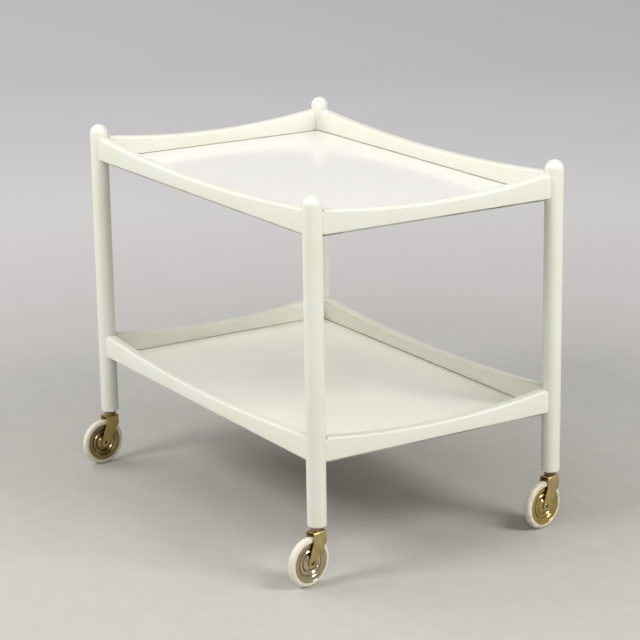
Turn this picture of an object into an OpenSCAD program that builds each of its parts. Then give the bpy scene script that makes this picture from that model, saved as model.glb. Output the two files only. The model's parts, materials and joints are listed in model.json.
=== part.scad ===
// Serving trolley: four turned posts carry two railed trays, and each post stands on a swivel caster.
// Millimetres, +Z up, long side along X, front along -Y. The origin is on the floor, midway between
// the furthest reach of the resting wheels at the front and at the back.

/* [Frame] */
// Distance between the post axes along the long side
spacing_x = 684; // [480:1:900]
// Distance between the post axes along the short side
spacing_y = 441; // [320:1:600]
// Height of the domed post tops above the floor
post_top = 600; // [560:1:800]
// Diameter of the turned posts
post_d = 30; // [28:0.5:38]
// Height of the dome turned on each post
dome_h = 13.5; // [6:0.5:13.5]
// Radius of the eased edge at each post's foot
foot_ease = 3; // [0.5:0.5:4.5]

/* [Rails] */
// How far the posts stand above the ends of the upper rails
post_over = 20.5; // [16:0.5:40]
// Height of the lower rails' under edge above the floor
lower_rail_z = 193.5; // [150:0.5:300]
// Thickness of the rails
rail_t = 17.6; // [15:0.2:20]
// Height of a rail halfway between its posts
rail_mid_h = 23.5; // [20:0.5:34]
// Height of a rail where it meets its posts
rail_end_h = 38.5; // [36:0.5:50]
// Radius of the rounded upper edges of the rails
rail_top_r = 4; // [1:0.5:6]
// Radius of the eased under edges of the rails
rail_low_r = 2; // [1:0.5:4]
// Radius of the corner where the top of a rail turns down to its post
rail_corner_r = 4; // [1:0.5:6]

/* [Tray boards] */
// Thickness of the board screwed under the rails of each tray
board_t = 3.2; // [2.5:0.1:6]
// Thickness of the decorative laminate glued on the board
laminate_t = 0.8; // [0.5:0.1:1.2]
// Width of the board's edge that lies under the rails
board_lap = 11.6; // [9:0.2:13]
// Play of board and laminate round the posts, and of the laminate between the rails
board_play = 0.4; // [0.2:0.1:0.8]

/* [Joinery] */
// Diameter of the dowels between rails and posts
dowel_d = 8; // [6:0.5:9]
// Length of a dowel
dowel_l = 30; // [24:1:40]
// Height of the lower dowel above the rail's under edge
dowel_low = 11; // [9.5:0.5:13]
// Distance between the two dowels of a joint
dowel_pitch = 16; // [12:0.5:17]
// Diameter of the screws that hold the boards
screw_d = 2.8; // [2:0.2:3.2]
// Diameter of the countersunk screw heads
screw_head_d = 5.6; // [4.8:0.2:6]
// Length of a screw
screw_l = 12; // [10:0.5:16]
// Largest distance between two screws in a row
screw_gap = 135; // [80:5:200]

/* [Wheels] */
// Diameter of a wheel over its tyre
wheel_d = 77.5; // [72:0.5:86]
// Width of the rubber tyre
tyre_w = 12; // [11.4:0.2:14.6]
// Radius of the tyre's shoulders
shoulder_r = 4.5; // [2:0.5:5.5]
// Diameter of the pressed wheel discs
disc_d = 63.5; // [60:0.5:66]
// Thickness of the disc metal
disc_t = 1; // [0.6:0.1:1.2]
// Distance of the disc rim from the middle of the wheel
disc_rim_x = 5.6; // [5.2:0.1:5.7]
// Width of the flat rim that grips the tyre
rim_w = 5; // [4:0.5:6]
// Diameter of the groove pressed inside the rim
groove_d = 43; // [41:0.5:46]
// Depth of that groove
groove_depth = 1.4; // [0.6:0.1:2]
// Diameter of the raised bead inside the groove
bead_d = 37; // [34:0.5:39]
// Height of the bead over the rim
bead_rise = 0.3; // [0.1:0.1:0.6]
// Diameter of the hollow round the domed middle
cove_d = 29; // [25:0.5:31]
// Depth of that hollow below the rim
cove_depth = 2.2; // [1:0.1:3]
// Diameter of the hub bush
hub_d = 10; // [9:0.5:11]
// Diameter of the riveted axle
axle_d = 6; // [5:0.5:7]

/* [Casters] */
// Clear width between the fork's arms
fork_gap = 16; // [15.8:0.1:18]
// Thickness of the fork metal
fork_t = 1.8; // [1.2:0.1:2.2]
// Height of the fork's top face above the axle
fork_rise = 47; // [45:0.5:56]
// Distance of the axle from the swivel axis
trail = 18.2; // [12:0.1:22]
// Reach of the fork plate over the wheel
plate_front = 14; // [12:0.5:18]
// Reach of the fork plate away from the wheel
plate_back = 12.5; // [11:0.5:16]
// Radius of the eye round the axle at the end of each arm
eye_r = 7.2; // [6:0.2:10]
// Outer radius of the bend between plate and arms, more than the metal's thickness
bend_r = 4; // [2.4:0.1:5]
// Diameter of the stem
stem_d = 8; // [7:0.5:9]
// Length of the stem inside the post
stem_l = 34; // [30:1:45]
// Diameter of the collar under the post
collar_d = 17; // [14:0.5:18]
// Height of the collar
collar_h = 2.2; // [1:0.2:6]
// Turn of each caster from straight ahead: front left, front right, back right, back left
caster_turn = [6.3, 10.5, 11.6, 9]; // [-25:0.1:25]

/* [Fits] */
// Radial play of the stem in its socket and of the axle in its hub
run_play = 0.05; // [0.02:0.01:0.1]
// Upright play of the swivel and side play of the wheel
end_play = 0.3; // [0.2:0.05:0.5]

/* [Hidden] */
$fn = 96;
LACQUER = [0.89, 0.89, 0.83];
LAMINATE = [0.93, 0.93, 0.91];
HARDBOARD = [0.50, 0.37, 0.25];
BEECH = [0.80, 0.65, 0.47];
BRASS = [0.71, 0.60, 0.33];
STEEL = [0.62, 0.62, 0.64];
RUBBER = [0.93, 0.91, 0.84];

post_r = post_d / 2;
wheel_r = wheel_d / 2;
disc_r = disc_d / 2;
hub_r = hub_d / 2;
over = 1;

// Levels of a caster above the floor, from the fork's top up to the post's foot
washer_t = 2.6;
flange_t = 1.4;
fork_top = wheel_r + fork_rise;
collar_top = fork_top + collar_h;
washer_top = collar_top + washer_t;
flange_z = washer_top + end_play;
post_foot = flange_z + flange_t;

upper_rail_z = post_top - post_over - rail_end_h;

// A dowel stops short of the one that comes in from the other side of the post
dowel_stop = 1;
dowel_in = post_r - dowel_d / 2 - dowel_stop;
dowel_room = 0.5;
dowel_chamfer = 0.8;

screw_margin = 32;
screw_head_h = (screw_head_d - screw_d) / 2;
screw_tip = 2.5;
screw_point_d = 0.4;
screw_slot_w = 0.8;
screw_slot_h = 0.7;

// Socket driven into the post, and the stem's bulge that snaps into its pocket
socket_wall = 1.5;
socket_r = stem_d / 2 + run_play + socket_wall;
flange_r = collar_d / 2 + 2;
washer_r = collar_d / 2 + 1.5;
washer_teeth = 14;
washer_notch_r = 1.2;
grip_z = 5;
grip_h = 3;
grip_rise = 0.5;
socket_l = stem_l + 2.5;
stem_chamfer = 1;
stem_top = post_foot + stem_l - end_play;
stem_rivet_r = 6.5;
stem_rivet_h = 2.2;

// Fork: how far each arm and the closed back drop straight, which clears the tyre at the back
arm_front_drop = 13.5;
back_gap = 5.7;
back_reach_y = trail + plate_back - fork_t;
arm_back_drop = fork_rise - sqrt(max(0, wheel_r * wheel_r - back_reach_y * back_reach_y)) - back_gap;

// Axle: hollow rivet heads
axle_head_r = 3.7;
axle_head_h = 1.4;
axle_dimple_r = 2.4;
axle_dimple_h = 1.1;

// Hub bush with its ends rolled over the discs
hub_flange_t = 0.6;
hub_flange_r = hub_r + 1.5;
hub_x = fork_gap / 2 - end_play - hub_flange_t;
tyre_seat_r = disc_r - rim_w;
lip_w = 1.5;

// Section of a pressed disc from the hub out to its rolled lip: [radius, height over the wheel's middle]
disc_path = [
    [hub_r, hub_x],
    [hub_flange_r, hub_x],
    [cove_d / 2, disc_rim_x - cove_depth],
    [bead_d / 2, disc_rim_x + bead_rise],
    [groove_d / 2, disc_rim_x - groove_depth],
    [tyre_seat_r, disc_rim_x],
    [disc_r - lip_w, disc_rim_x],
    [disc_r - lip_w / 2, disc_rim_x + bead_rise],
    [disc_r, disc_rim_x],
];
disc_steps = 5;

// Corners and sides, counted from the front left and from the front
CORNERS = ["front_left", "front_right", "back_right", "back_left"];
CORNER_X = [-1, 1, 1, -1];
CORNER_Y = [-1, -1, 1, 1];
SIDES = ["front", "right", "back", "left"];
SIDE_TURN = [0, 90, 180, 270];
LEVELS = ["upper", "lower"];
LEVEL_Z = [upper_rail_z, lower_rail_z];

// The trailing wheels reach further to the front, so the frame stands this far back from the origin
least_turn = min([for (turn = caster_turn) abs(turn)]);
tread_reach = (wheel_r - shoulder_r) * cos(least_turn) + (tyre_w / 2 - shoulder_r) * sin(least_turn);
wheel_y = tread_reach + shoulder_r;
front_reach = wheel_y + trail * cos(least_turn);
back_reach = max(post_r, wheel_y - trail * cos(least_turn));
frame_y = (front_reach - back_reach) / 2;

// Half the clear length of a rail between its posts
function rail_reach(span) = span / 2 - post_r;
// Length of the side that a rail or a row of screws lies along
function side_span(s) = s % 2 == 0 ? spacing_x : spacing_y;
// Distance of a side's rail from the middle of the frame
function side_off(s) = s % 2 == 0 ? spacing_y / 2 : spacing_x / 2;
// Places of a row of screws, evenly spaced between the posts
function screw_row(span) =
    let (half = rail_reach(span) - screw_margin, n = ceil(2 * half / screw_gap))
    [for (i = [0:n]) -half + 2 * half * i / n];
// A smooth step from a to b as t goes from 0 to 1
function ease(a, b, t) = a + (b - a) * (1 - cos(180 * t)) / 2;
// Points of the disc's section, lowered by the given depth
function disc_points(depth) = [
    for (i = [0:len(disc_path) - 2], k = [0:disc_steps - 1])
        let (a = disc_path[i], b = disc_path[i + 1], t = k / disc_steps)
        [a[0] + (b[0] - a[0]) * t, ease(a[1], b[1], t) - depth],
    [disc_path[len(disc_path) - 1][0], disc_path[len(disc_path) - 1][1] - depth]
];
// Point where the line from p touches a circle of radius r round c, on the side given by turn
function touch(p, c, r, turn) =
    let (d = norm(p - c), a = atan2(p[1] - c[1], p[0] - c[0]) + turn * acos(r / d))
    c + r * [cos(a), sin(a)];

module at_corner(c) {
    translate([CORNER_X[c] * spacing_x / 2, CORNER_Y[c] * spacing_y / 2 + frame_y, 0])
        children();
}

// Swivel axis at the origin, axle along X, wheel trailing towards -Y
module at_caster(c) {
    at_corner(c) rotate([0, 0, caster_turn[c]]) children();
}

// Wheel axis along Z, its middle at the origin
module at_wheel(c) {
    at_caster(c) translate([0, -trail, wheel_r]) rotate([0, 90, 0]) children();
}

// A side's own frame: X along the rail, Y towards the inside, Z from the rail's under edge
module at_side(s, z) {
    translate([0, frame_y, z]) rotate([0, 0, SIDE_TURN[s]]) translate([0, -side_off(s), 0])
        children();
}

// Section that takes away a square corner at the origin and leaves it round, in the -X -Y quarter
module corner_cut(r) {
    difference() {
        translate([-r, -r]) square(r + over);
        translate([-r, -r]) circle(r, $fn = 32);
    }
}

// Low round head on the XY plane
module rivet_head(r, h) {
    ball = (r * r + h * h) / (2 * h);
    intersection() {
        translate([0, 0, h - ball]) sphere(ball);
        cylinder(r = r + over, h = h + over);
    }
}

module post(c) {
    color(LACQUER) at_corner(c) difference() {
        translate([0, 0, post_foot]) cylinder(r = post_r, h = post_top - post_foot);
        dome_cut();
        translate([0, 0, post_foot]) rotate_extrude()
            translate([post_r, 0]) mirror([0, 1]) corner_cut(foot_ease);
        translate([0, 0, post_foot - over]) cylinder(r = socket_r, h = socket_l + over);
        for (z = LEVEL_Z) post_dowel_holes(c, z);
    }
}

module dome_cut() {
    ball = (post_r * post_r + dome_h * dome_h) / (2 * dome_h);
    rotate_extrude() difference() {
        translate([0, post_top - dome_h]) square([post_r + over, dome_h + over]);
        translate([0, post_top - ball]) circle(ball);
    }
}

module post_dowel_holes(c, z) {
    for (k = [0, 1]) translate([0, 0, z + dowel_low + k * dowel_pitch]) {
        rotate([0, CORNER_X[c] * -90, 0]) dowel_hole_in_post();
        rotate([CORNER_Y[c] * 90, 0, 0]) dowel_hole_in_post();
    }
}

module dowel_hole_in_post() {
    translate([0, 0, post_r - dowel_in - dowel_room])
        cylinder(d = dowel_d, h = dowel_in + dowel_room + over);
}

// Rail along X: hollow-curved on top, coped to the posts and bored for dowels and screws
module rail(span) {
    color(LACQUER) difference() {
        rail_bar(span);
        rail_hollow(rail_reach(span));
        for (end = [0, 1]) mirror([end, 0, 0]) {
            rail_end_cut(rail_reach(span));
            translate([span / 2, 0, -over]) cylinder(r = post_r, h = 2 * rail_end_h);
            translate([rail_reach(span), 0, dowel_low]) rail_dowel_holes();
        }
        for (x = screw_row(span)) translate([x, rail_t / 2 - board_lap / 2, -over])
            cylinder(d = screw_d, h = over + screw_l - board_t + dowel_room);
    }
}

// Straight bar with eased under edges
module rail_bar(span) {
    translate([-span / 2, 0, 0]) rotate([90, 0, 90]) linear_extrude(span) difference() {
        translate([-rail_t / 2, 0]) square([rail_t, rail_end_h + over]);
        for (side = [0, 1]) mirror([side, 0]) translate([rail_t / 2, 0]) mirror([0, 1])
            corner_cut(rail_low_r);
    }
}

// Ring cutter swung round a centre high above the rail, which leaves its hollow top with rounded edges
module rail_hollow(reach) {
    rise = rail_end_h - rail_mid_h;
    curve_r = (reach * reach + rise * rise) / (2 * rise);
    depth = 2 * rail_end_h;
    translate([0, 0, rail_mid_h + curve_r]) rotate([90, 0, 0]) rotate_extrude($fn = 720) difference() {
        translate([curve_r - depth, -rail_t / 2 - over]) square([depth + rail_top_r, rail_t + 2 * over]);
        difference() {
            translate([curve_r, -rail_t / 2]) square([depth, rail_t]);
            for (side = [0, 1]) mirror([0, side]) translate([curve_r, rail_t / 2]) mirror([1, 0])
                corner_cut(rail_top_r);
        }
    }
}

// What is taken off a rail's end: the rounded corner, and all above the tongue that runs in to the post
module rail_end_cut(reach) {
    translate([0, rail_t / 2 + over, 0]) rotate([90, 0, 0]) linear_extrude(rail_t + 2 * over) {
        translate([reach, rail_end_h]) corner_cut(rail_corner_r);
        translate([reach, rail_end_h - rail_corner_r]) square(post_r + rail_corner_r);
    }
}

module rail_dowel_holes() {
    for (k = [0, 1]) translate([over, 0, k * dowel_pitch]) rotate([0, -90, 0])
        cylinder(d = dowel_d, h = over + dowel_l - dowel_in + dowel_room);
}

// Sheet notched round the posts, whose edges lie the given distance outside the lines from post to post
module tray_sheet(edge, t) {
    difference() {
        translate([-spacing_x / 2 - edge, -spacing_y / 2 - edge, 0])
            cube([spacing_x + 2 * edge, spacing_y + 2 * edge, t]);
        for (c = [0:3]) translate([CORNER_X[c] * spacing_x / 2, CORNER_Y[c] * spacing_y / 2, -over])
            cylinder(r = post_r + board_play, h = t + 2 * over);
    }
}

// The board's edges lie under the rails
module board(z) {
    color(HARDBOARD) difference() {
        translate([0, frame_y, z - board_t]) tray_sheet(board_lap - rail_t / 2, board_t);
        each_screw(z) screw_body();
    }
}

// The laminate fills the clear space between the rails
module laminate(z) {
    color(LAMINATE) translate([0, frame_y, z])
        tray_sheet(-rail_t / 2 - board_play, laminate_t);
}

module each_screw(z) {
    for (s = [0:3], x = screw_row(side_span(s)))
        at_side(s, z - board_t) translate([x, rail_t / 2 - board_lap / 2, 0]) children();
}

module screw_body() {
    cylinder(d1 = screw_head_d, d2 = screw_d, h = screw_head_h);
    cylinder(d = screw_d, h = screw_l - screw_tip);
}

module screws(z) {
    color(STEEL) each_screw(z) difference() {
        union() {
            screw_body();
            translate([0, 0, screw_l - screw_tip]) cylinder(d1 = screw_d, d2 = screw_point_d, h = screw_tip);
        }
        translate([-screw_head_d, -screw_slot_w / 2, -over])
            cube([2 * screw_head_d, screw_slot_w, over + screw_slot_h]);
    }
}

module dowel() {
    cylinder(d1 = dowel_d - 2 * dowel_chamfer, d2 = dowel_d, h = dowel_chamfer);
    translate([0, 0, dowel_chamfer]) cylinder(d = dowel_d, h = dowel_l - 2 * dowel_chamfer);
    translate([0, 0, dowel_l - dowel_chamfer])
        cylinder(d1 = dowel_d, d2 = dowel_d - 2 * dowel_chamfer, h = dowel_chamfer);
}

module dowels(z) {
    color(BEECH) for (s = [0:3], end = [-1, 1], k = [0, 1]) at_side(s, z)
        translate([end * (rail_reach(side_span(s)) + dowel_in), 0, dowel_low + k * dowel_pitch])
            rotate([0, -end * 90, 0]) dowel();
}

module socket(c) {
    color(STEEL) at_corner(c) translate([0, 0, post_foot]) difference() {
        union() {
            cylinder(r = socket_r, h = socket_l);
            translate([0, 0, -flange_t]) cylinder(r = flange_r, h = flange_t);
        }
        translate([0, 0, -flange_t - over]) cylinder(r = stem_d / 2 + run_play, h = flange_t + over + stem_l);
        translate([0, 0, stem_l - grip_z - grip_h])
            cylinder(r = stem_d / 2 + grip_rise + 2 * run_play, h = grip_z + grip_h + over);
    }
}

// Stem: rivet head under the plate, collar above it, then the shank with its snap bulge
module stem(c) {
    low = fork_top - fork_t;
    color(BRASS) at_caster(c) {
        translate([0, 0, low]) mirror([0, 0, 1]) rivet_head(stem_rivet_r, stem_rivet_h);
        translate([0, 0, low]) cylinder(d = stem_d, h = stem_top - stem_chamfer - low);
        translate([0, 0, fork_top]) cylinder(d = collar_d, h = collar_h);
        translate([0, 0, stem_top - stem_chamfer])
            cylinder(d1 = stem_d, d2 = stem_d - 2 * stem_chamfer, h = stem_chamfer);
        translate([0, 0, post_foot + stem_l - grip_z - grip_h / 2]) stem_grip();
    }
}

module stem_grip() {
    cylinder(d1 = stem_d, d2 = stem_d + 2 * grip_rise, h = grip_h / 2);
    translate([0, 0, grip_h / 2]) cylinder(d1 = stem_d + 2 * grip_rise, d2 = stem_d, h = grip_h / 2);
}

// Bearing washer with a toothed rim
module washer(c) {
    color(BRASS) at_caster(c) translate([0, 0, collar_top]) difference() {
        cylinder(r = washer_r, h = washer_t);
        translate([0, 0, -over]) cylinder(d = stem_d, h = washer_t + 2 * over);
        for (k = [1:washer_teeth]) rotate([0, 0, k * 360 / washer_teeth]) translate([washer_r, 0, -over])
            cylinder(r = washer_notch_r, h = washer_t + 2 * over);
    }
}

// Pressed fork: plate, arms and back bent from one sheet, trimmed to the outline of the arms
module fork(c) {
    color(BRASS) at_caster(c) difference() {
        intersection() {
            fork_block(0);
            fork_outline();
        }
        fork_block(fork_t);
        translate([0, 0, fork_top - 2 * fork_t]) cylinder(d = stem_d, h = 3 * fork_t);
        translate([-fork_gap, -trail, wheel_r]) rotate([0, 90, 0]) cylinder(d = axle_d, h = 2 * fork_gap);
    }
}

// Outer form of the bent sheet, or its inner form where that is inset by the metal's thickness
module fork_block(inset) {
    half = fork_gap / 2 + fork_t - inset;
    low = wheel_r - eye_r - over - inset;
    high = fork_top - inset;
    front = trail + eye_r + over + inset;
    back = plate_back - inset;
    r = bend_r - inset;
    intersection() {
        translate([0, back + over, 0]) rotate([90, 0, 0]) linear_extrude(front + back + 2 * over)
            bent_section(half, low, high, r);
        translate([0, 0, low - over]) linear_extrude(high - low + 2 * over) difference() {
            translate([-half - over, -front]) square([2 * (half + over), front + back]);
            for (side = [0, 1]) mirror([side, 0]) translate([half, back]) corner_cut(r);
        }
        translate([-half - over, 0, 0]) rotate([90, 0, 90]) linear_extrude(2 * (half + over)) difference() {
            translate([-front - over, low - over]) square([front + back + 2 * over, high - low + 2 * over]);
            translate([back, high]) corner_cut(r);
        }
    }
}

// Front view of the bent sheet, with its two top corners rounded
module bent_section(half, low, high, r) {
    difference() {
        translate([-half, low]) square([2 * half, high - low]);
        for (side = [0, 1]) mirror([side, 0]) translate([half, high]) corner_cut(r);
    }
}

// Side view of the fork in the Y-Z plane, with the arms running down to the eye round the axle
module fork_outline() {
    eye = [-trail, wheel_r];
    front = [-plate_front, fork_top - arm_front_drop];
    back = [plate_back, fork_top - arm_back_drop];
    half = fork_gap / 2 + fork_t + over;
    translate([-half, 0, 0]) rotate([90, 0, 90]) linear_extrude(2 * half) {
        polygon([
            [-plate_front, fork_top + over],
            front,
            touch(front, eye, eye_r, 1),
            eye,
            touch(back, eye, eye_r, -1),
            back,
            [plate_back, fork_top + over],
        ]);
        translate(eye) circle(eye_r);
    }
}

module axle(c) {
    half = fork_gap / 2 + fork_t;
    color(BRASS) at_wheel(c) {
        translate([0, 0, -half]) cylinder(d = axle_d, h = 2 * half);
        for (side = [0, 1]) mirror([0, 0, side]) translate([0, 0, half]) axle_head();
    }
}

module axle_head() {
    difference() {
        rivet_head(axle_head_r, axle_head_h);
        translate([0, 0, axle_head_h - axle_dimple_h])
            cylinder(r1 = axle_dimple_r / 2, r2 = axle_dimple_r, h = axle_dimple_h);
    }
}

module hub(c) {
    color(BRASS) at_wheel(c) difference() {
        union() {
            translate([0, 0, -hub_x]) cylinder(r = hub_r, h = 2 * hub_x);
            for (side = [0, 1]) mirror([0, 0, side]) translate([0, 0, hub_x])
                cylinder(r = hub_flange_r, h = hub_flange_t);
        }
        translate([0, 0, -fork_gap]) cylinder(d = axle_d + 2 * run_play, h = 2 * fork_gap);
    }
}

module disc() {
    upper = disc_points(0);
    lower = disc_points(disc_t);
    color(BRASS) rotate_extrude() polygon(concat(upper, [for (i = [len(lower) - 1:-1:0]) lower[i]]));
}

module tyre(c) {
    color(RUBBER) at_wheel(c) rotate_extrude() {
        difference() {
            translate([disc_r, -tyre_w / 2]) square([wheel_r - disc_r, tyre_w]);
            for (side = [0, 1]) mirror([0, side]) translate([wheel_r, tyre_w / 2])
                corner_cut(shoulder_r);
        }
        translate([tyre_seat_r, disc_t - disc_rim_x])
            square([disc_r - tyre_seat_r + over, 2 * (disc_rim_x - disc_t)]);
    }
}

for (c = [0:3]) {
    post(c);
    socket(c);
    stem(c);
    washer(c);
    fork(c);
    axle(c);
    hub(c);
    at_wheel(c) disc();
    at_wheel(c) mirror([0, 0, 1]) disc();
    tyre(c);
}
for (l = [0, 1]) {
    for (s = [0:3])
        at_side(s, LEVEL_Z[l]) rail(side_span(s));
    board(LEVEL_Z[l]);
    laminate(LEVEL_Z[l]);
    dowels(LEVEL_Z[l]);
    screws(LEVEL_Z[l]);
}
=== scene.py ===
"""Looks for a serving trolley: four turned posts carry two railed trays and stand on swivel casters.

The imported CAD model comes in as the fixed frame, in metres. Posts, rails, forks and wheels are built again
on its places, with softened edges and fine rounding, and stand for its nodes. The rest of its nodes keep
their meshes and get their finishes. Round it stand a pale floor, soft lamps and a camera at the
photograph's angle.
"""

from __future__ import annotations

import json
import logging
import math
from dataclasses import dataclass, field
from enum import Enum
from functools import partial

import bmesh
import bpy
from mathutils import Matrix, Vector

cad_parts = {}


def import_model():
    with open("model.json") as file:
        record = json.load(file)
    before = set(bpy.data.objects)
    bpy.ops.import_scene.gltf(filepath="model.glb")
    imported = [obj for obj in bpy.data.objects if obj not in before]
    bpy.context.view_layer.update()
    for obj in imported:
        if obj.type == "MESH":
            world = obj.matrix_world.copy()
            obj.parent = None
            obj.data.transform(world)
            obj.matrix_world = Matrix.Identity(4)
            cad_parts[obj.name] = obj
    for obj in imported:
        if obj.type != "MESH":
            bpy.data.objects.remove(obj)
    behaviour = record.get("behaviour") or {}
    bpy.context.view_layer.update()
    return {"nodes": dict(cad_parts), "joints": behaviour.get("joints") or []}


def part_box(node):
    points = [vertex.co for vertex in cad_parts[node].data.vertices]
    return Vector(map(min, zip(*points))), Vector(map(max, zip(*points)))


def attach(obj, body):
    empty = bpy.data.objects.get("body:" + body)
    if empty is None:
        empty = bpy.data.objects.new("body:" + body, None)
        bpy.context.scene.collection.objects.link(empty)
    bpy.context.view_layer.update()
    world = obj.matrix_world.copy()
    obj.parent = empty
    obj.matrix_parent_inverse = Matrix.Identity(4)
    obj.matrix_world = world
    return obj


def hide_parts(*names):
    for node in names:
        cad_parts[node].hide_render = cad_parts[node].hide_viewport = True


LOG = logging.getLogger("trolley")
MM = 0.001
# The middle of the trolley, in metres, which the lamps face
MIDDLE = (0.0, 0.018, 0.3)
# Points this near to each other become one, and edges this short go, in metres
WELD, SLIVER = 0.002 * MM, 0.001 * MM
# A wave texture of scale 1 repeats over this length, in metres
WAVE = math.pi / 10

Point = tuple[float, float]
Triple = tuple[float, float, float]
Socket = bpy.types.NodeSocket
NodeTree = bpy.types.NodeTree


class Corner(Enum):
    """The four corners, as the CAD nodes name them."""

    FRONT_LEFT = "front_left"
    FRONT_RIGHT = "front_right"
    BACK_RIGHT = "back_right"
    BACK_LEFT = "back_left"


class Side(Enum):
    """The four sides, with the turn about Z that brings the front side there."""

    FRONT = 0
    RIGHT = 90
    BACK = 180
    LEFT = 270


class Level(Enum):
    """The two trays, as the CAD nodes name them."""

    UPPER = "upper"
    LOWER = "lower"


class Tone(Enum):
    """How far a wheel's brass finish has darkened: its colour, dark patches, and the darker colour painted in
    its grooves as their shade, with some tarnish.
    """

    BRONZE = ("#AD9868", "#8E7B54", "#4E3F25")
    NICKEL = ("#C9BB9A", "#ADA184", "#6E6047")
    GOLD = ("#CBB36E", "#AE995C", "#7A6430")


# ---------------------------------------------------------------- small tools


def linear(code: str) -> tuple[float, float, float, float]:
    """Turn an sRGB hex colour into the linear colour that the shaders use.

    Args:
        code: The colour as "#RRGGBB".

    Returns:
        Linear red, green and blue, and an alpha of 1.
    """
    parts = [int(code[i : i + 2], 16) / 255 for i in (1, 3, 5)]
    red, green, blue = (c / 12.92 if c <= 0.04045 else ((c + 0.055) / 1.055) ** 2.4 for c in parts)
    return red, green, blue, 1.0


def add(tree: NodeTree, kind: str, inputs: dict | None = None, **settings: object) -> bpy.types.Node:
    """Add a node to a tree, with its settings, values and links.

    Args:
        tree: The tree that gets the node.
        kind: The node's type.
        inputs: Input name or number to a value, or to the output socket that is linked there.
        **settings: Properties of the node.

    Returns:
        The new node.
    """
    node = tree.nodes.new(kind)
    for name, value in settings.items():
        setattr(node, name, value)
    for key, value in (inputs or {}).items():
        if isinstance(value, Socket):
            tree.links.new(value, node.inputs[key])
        else:
            node.inputs[key].default_value = value
    return node


def calc(tree: NodeTree, kind: str, *values: float | Socket) -> Socket:
    """Add a math node to a tree and give its output."""
    return add(tree, "ShaderNodeMath", dict(enumerate(values)), operation=kind).outputs[0]


def layer(tree: NodeTree, share: Socket, under: Socket, over: Socket) -> Socket:
    """Add a mix of two shaders to a tree and give it."""
    return add(tree, "ShaderNodeMixShader", {0: share, 1: under, 2: over}).outputs["Shader"]


def seen(tree: NodeTree) -> Socket:
    """Tell the rays that show something from those that only light it.

    Args:
        tree: The tree that gets the nodes.

    Returns:
        1 for a ray of the camera, of gloss or through glass, and 0 for the others.
    """
    rays = add(tree, "ShaderNodeLightPath").outputs
    straight = calc(tree, "ADD", rays["Is Camera Ray"], rays["Is Glossy Ray"])
    return calc(tree, "ADD", straight, rays["Is Transmission Ray"])


def toward(azimuth: float, elevation: float) -> Vector:
    """Give the direction at an azimuth from the front and an elevation.

    Args:
        azimuth: Degrees from the front towards the right.
        elevation: Degrees above the floor.

    Returns:
        A vector of length 1.
    """
    a, e = math.radians(azimuth), math.radians(elevation)
    return Vector((math.sin(a) * math.cos(e), -math.cos(a) * math.cos(e), math.sin(e)))


def rounded(corners: list[Triple], closed: bool, steps: int = 6) -> list[Point]:
    """Round the corners of a section.

    Args:
        corners: Each corner's two coordinates and the radius of its rounding, in millimetres.
        closed: True if the last corner is followed by the first.
        steps: Chords in each rounding.

    Returns:
        The section's points, in millimetres.
    """
    points: list[Point] = []
    count = len(corners)
    for i, (x, y, radius) in enumerate(corners):
        here = Vector((x, y))
        if radius <= 0 or (not closed and i in (0, count - 1)):
            points.append((x, y))
            continue
        before = (Vector(corners[i - 1][:2]) - here).normalized()
        after = (Vector(corners[(i + 1) % count][:2]) - here).normalized()
        half = before.angle(after) / 2
        start, end = (here + way * radius / math.tan(half) for way in (before, after))
        middle = here + (before + after).normalized() * radius / math.sin(half)
        first, last = start - middle, end - middle
        sweep = first.angle_signed(last)
        for k in range(steps + 1):
            points.append(tuple(middle + Matrix.Rotation(-sweep * k / steps, 2) @ first))
    return points


def line_mesh(name: str, points: list[tuple[float, ...]], closed: bool) -> bpy.types.Mesh:
    """Make a mesh of edges that runs through the points.

    Args:
        name: The mesh's name.
        points: Two or three coordinates each, in millimetres.
        closed: True if the line returns to its start.

    Returns:
        The mesh, in metres.
    """
    count = len(points)
    edges = [(i, (i + 1) % count) for i in range(count if closed else count - 1)]
    mesh = bpy.data.meshes.new(name)
    mesh.from_pydata([Vector((*p, 0.0)[:3]) * MM for p in points], edges, [])
    return mesh


def axis_frame(middle: Vector, axis: Vector) -> Matrix:
    """Give the placement whose Z runs along a level axis and whose X points up.

    Args:
        middle: The origin.
        axis: The direction of Z.

    Returns:
        The placement as a 4x4 matrix.
    """
    along, up = axis.normalized(), Vector((0, 0, 1))
    turn = Matrix((up, along.cross(up), along)).transposed()
    return Matrix.Translation(middle) @ turn.to_4x4()


def shown(name: str, data: bpy.types.ID) -> bpy.types.Object:
    """Make the object that shows a mesh, lamp or camera.

    Args:
        name: The object's name.
        data: What it shows.

    Returns:
        The object, in the scene.
    """
    made = bpy.data.objects.new(name, data)
    bpy.context.scene.collection.objects.link(made)
    return made


def settled(name: str, mesh: bpy.types.Mesh, place: Matrix, crease: float = 32.0) -> bpy.types.Object:
    """Put a finished mesh in its place in the row frame and make the object that shows it.

    Args:
        name: The piece's name.
        mesh: The mesh, in its own frame.
        place: Where that frame stands.
        crease: Edges sharper than this many degrees stay sharp.

    Returns:
        The object, at the origin and unturned.
    """
    form = bmesh.new()
    form.from_mesh(mesh)
    bmesh.ops.remove_doubles(form, verts=form.verts, dist=WELD)
    bmesh.ops.dissolve_degenerate(form, dist=SLIVER, edges=form.edges)
    bmesh.ops.transform(form, matrix=place, verts=form.verts)
    bmesh.ops.recalc_face_normals(form, faces=form.faces)
    form.to_mesh(mesh)
    form.free()
    mesh.shade_smooth()
    mesh.set_sharp_from_angle(angle=math.radians(crease))
    return shown(name, mesh)


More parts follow.
